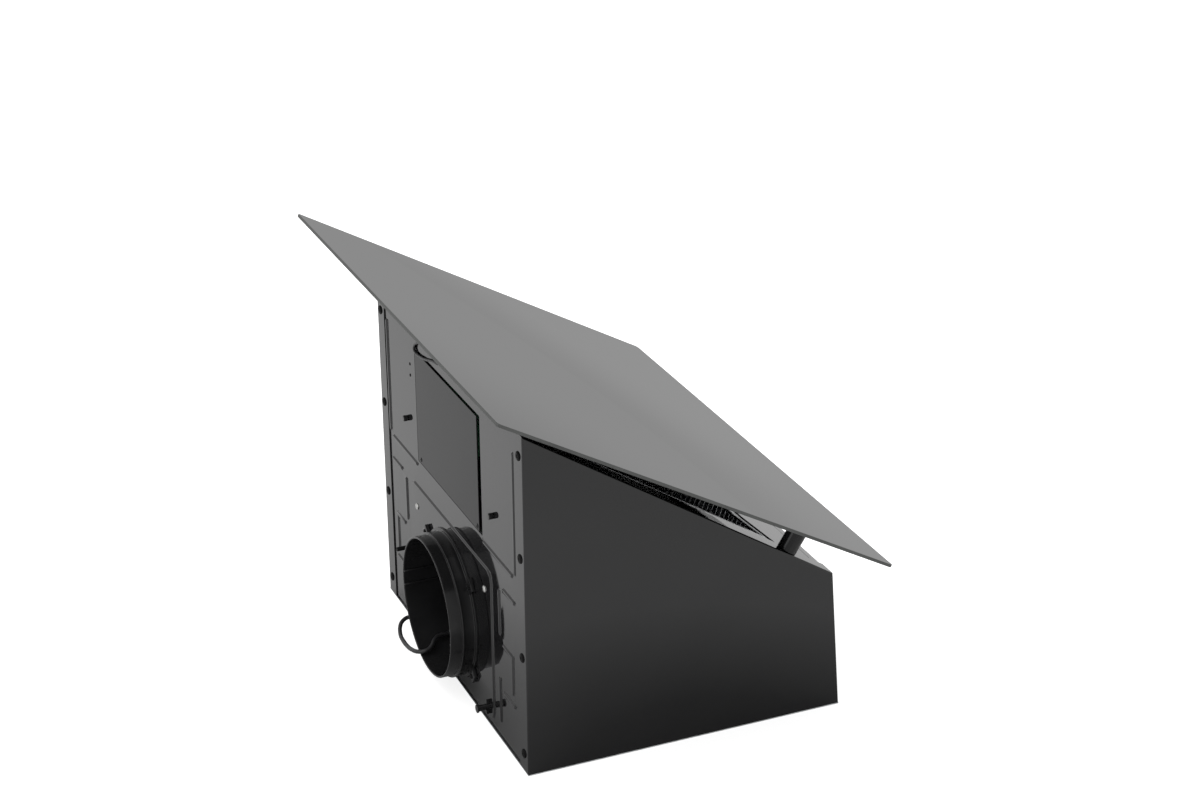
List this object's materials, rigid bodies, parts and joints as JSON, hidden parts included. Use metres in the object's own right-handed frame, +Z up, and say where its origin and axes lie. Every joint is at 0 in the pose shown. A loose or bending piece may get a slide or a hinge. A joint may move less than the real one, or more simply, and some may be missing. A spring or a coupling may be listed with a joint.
{
  "type": "range hood",
  "caption": "Inclined wall hood: folded black steel body, overhanging hinged glass front, mesh filter cassette, spiral blower and round duct collar with non-return flaps.",
  "frame": {"origin": "middle of the four wall screw holes, on the back face that lies against the wall", "axes": "+X across the hood, +Y into the wall so that the room is on the -Y side, +Z up"},
  "size_m": [0.6, 0.422, 0.4012],
  "materials": {
    "black_body": "satin black powder paint",
    "black_cover": "satin black paint",
    "zinc_sheet": "zinc coated sheet",
    "board_green": "laminate board",
    "capacitor_white": "moulded",
    "lead_black": "round sheathed lead",
    "spun_steel": "zinc coated, spun and rolled",
    "motor_alloy": "die cast",
    "rubber_black": "moulded",
    "bright_steel": "bright turned steel",
    "brass_nut": "turned",
    "collar_plastic": "satin moulded",
    "trim_plastic": "moulded",
    "black_screw": "black passivated",
    "lamp_lens": "frosted",
    "hinge_black": "black",
    "magnet": "nickel plated",
    "black_glass": "polished, enamelled black on its inner face",
    "filter_aluminium": "expanded mesh and rolled channel"
  },
  "bodies": {
    "hood_body": {"side_left": "black_body", "side_right": "black_body", "back_panel": "zinc_sheet", "top_panel": "black_body", "bottom_panel": "black_body", "front_panel": "black_body", "electronics_box": "zinc_sheet", "electronics_cover": "black_cover", "control_board": "board_green", "run_capacitor": "capacitor_white", "recess_lead": "lead_black", "scroll_shell": "zinc_sheet", "scroll_back": "zinc_sheet", "scroll_front": "zinc_sheet", "inlet_ring": "spun_steel", "casing_feet": "zinc_sheet", "motor_can": "motor_alloy", "motor_plate": "zinc_sheet", "motor_bushes": "rubber_black", "duct_collar": "collar_plastic", "flap_axle": "bright_steel", "lead_gland": "trim_plastic", "lead_grommet": "rubber_black", "collar_lead": "lead_black", "rear_pegs": "trim_plastic", "cover_pegs": "trim_plastic", "edge_screws": "black_screw", "panel_screws": "bright_steel", "lamp_ring_left": "bright_steel", "lamp_ring_right": "bright_steel", "lamp_lens_left": "lamp_lens", "lamp_lens_right": "lamp_lens", "hinge_base_left": "hinge_black", "hinge_base_right": "hinge_black", "hinge_pin_left": "bright_steel", "hinge_pin_right": "bright_steel", "rest_post_left": "rubber_black", "rest_post_right": "rubber_black", "rest_magnets": "magnet"},
    "glass_door": {"glass_panel": "black_glass", "hinge_leaf_left": "hinge_black", "hinge_leaf_right": "hinge_black", "strike_plates": "zinc_sheet", "touch_board": "trim_plastic"},
    "impeller_wheel": {"impeller": "spun_steel", "impeller_nut": "brass_nut", "motor_shaft": "bright_steel"},
    "flap_on_wall_side": {"flap_wall": "collar_plastic"},
    "flap_on_room_side": {"flap_room": "collar_plastic"},
    "filter_cassette": {"filter_frame": "filter_aluminium", "filter_mesh_front": "filter_aluminium", "filter_mesh_back": "filter_aluminium", "filter_handle": "trim_plastic", "latch_spring": "bright_steel"},
    "latch": {"filter_latch": "trim_plastic"}
  },
  "joints": [
    {"name": "glass_hinge", "type": "hinge", "parent": "hood_body", "child": "glass_door", "pos_m": [0, -0.36544, 0.1365], "axis": [-1, 0, 0], "range_deg": [0, 70]},
    {"name": "impeller_spin", "type": "hinge", "parent": "hood_body", "child": "impeller_wheel", "pos_m": [0.05, -0.1, -0.025], "axis": [0, -1, 0], "continuous": true},
    {"name": "flap_wall_turn", "type": "hinge", "parent": "hood_body", "child": "flap_on_wall_side", "pos_m": [0, -0.087, 0.106], "axis": [1, 0, 0], "range_deg": [0, 70]},
    {"name": "flap_room_turn", "type": "hinge", "parent": "hood_body", "child": "flap_on_room_side", "pos_m": [0, -0.087, 0.106], "axis": [-1, 0, 0], "range_deg": [0, 70]},
    {"name": "filter_tilt", "type": "hinge", "parent": "hood_body", "child": "filter_cassette", "pos_m": [0, -0.32009, 0.09864], "axis": [-1, 0, 0], "range_deg": [0, 5]},
    {"name": "latch_slide", "type": "slide", "parent": "filter_cassette", "child": "latch", "axis": [0, -0.5373, 0.8434], "range_m": [0, 0.004], "stiffness_N_per_m": 400, "deforming": ["latch_spring"]}
  ]
}
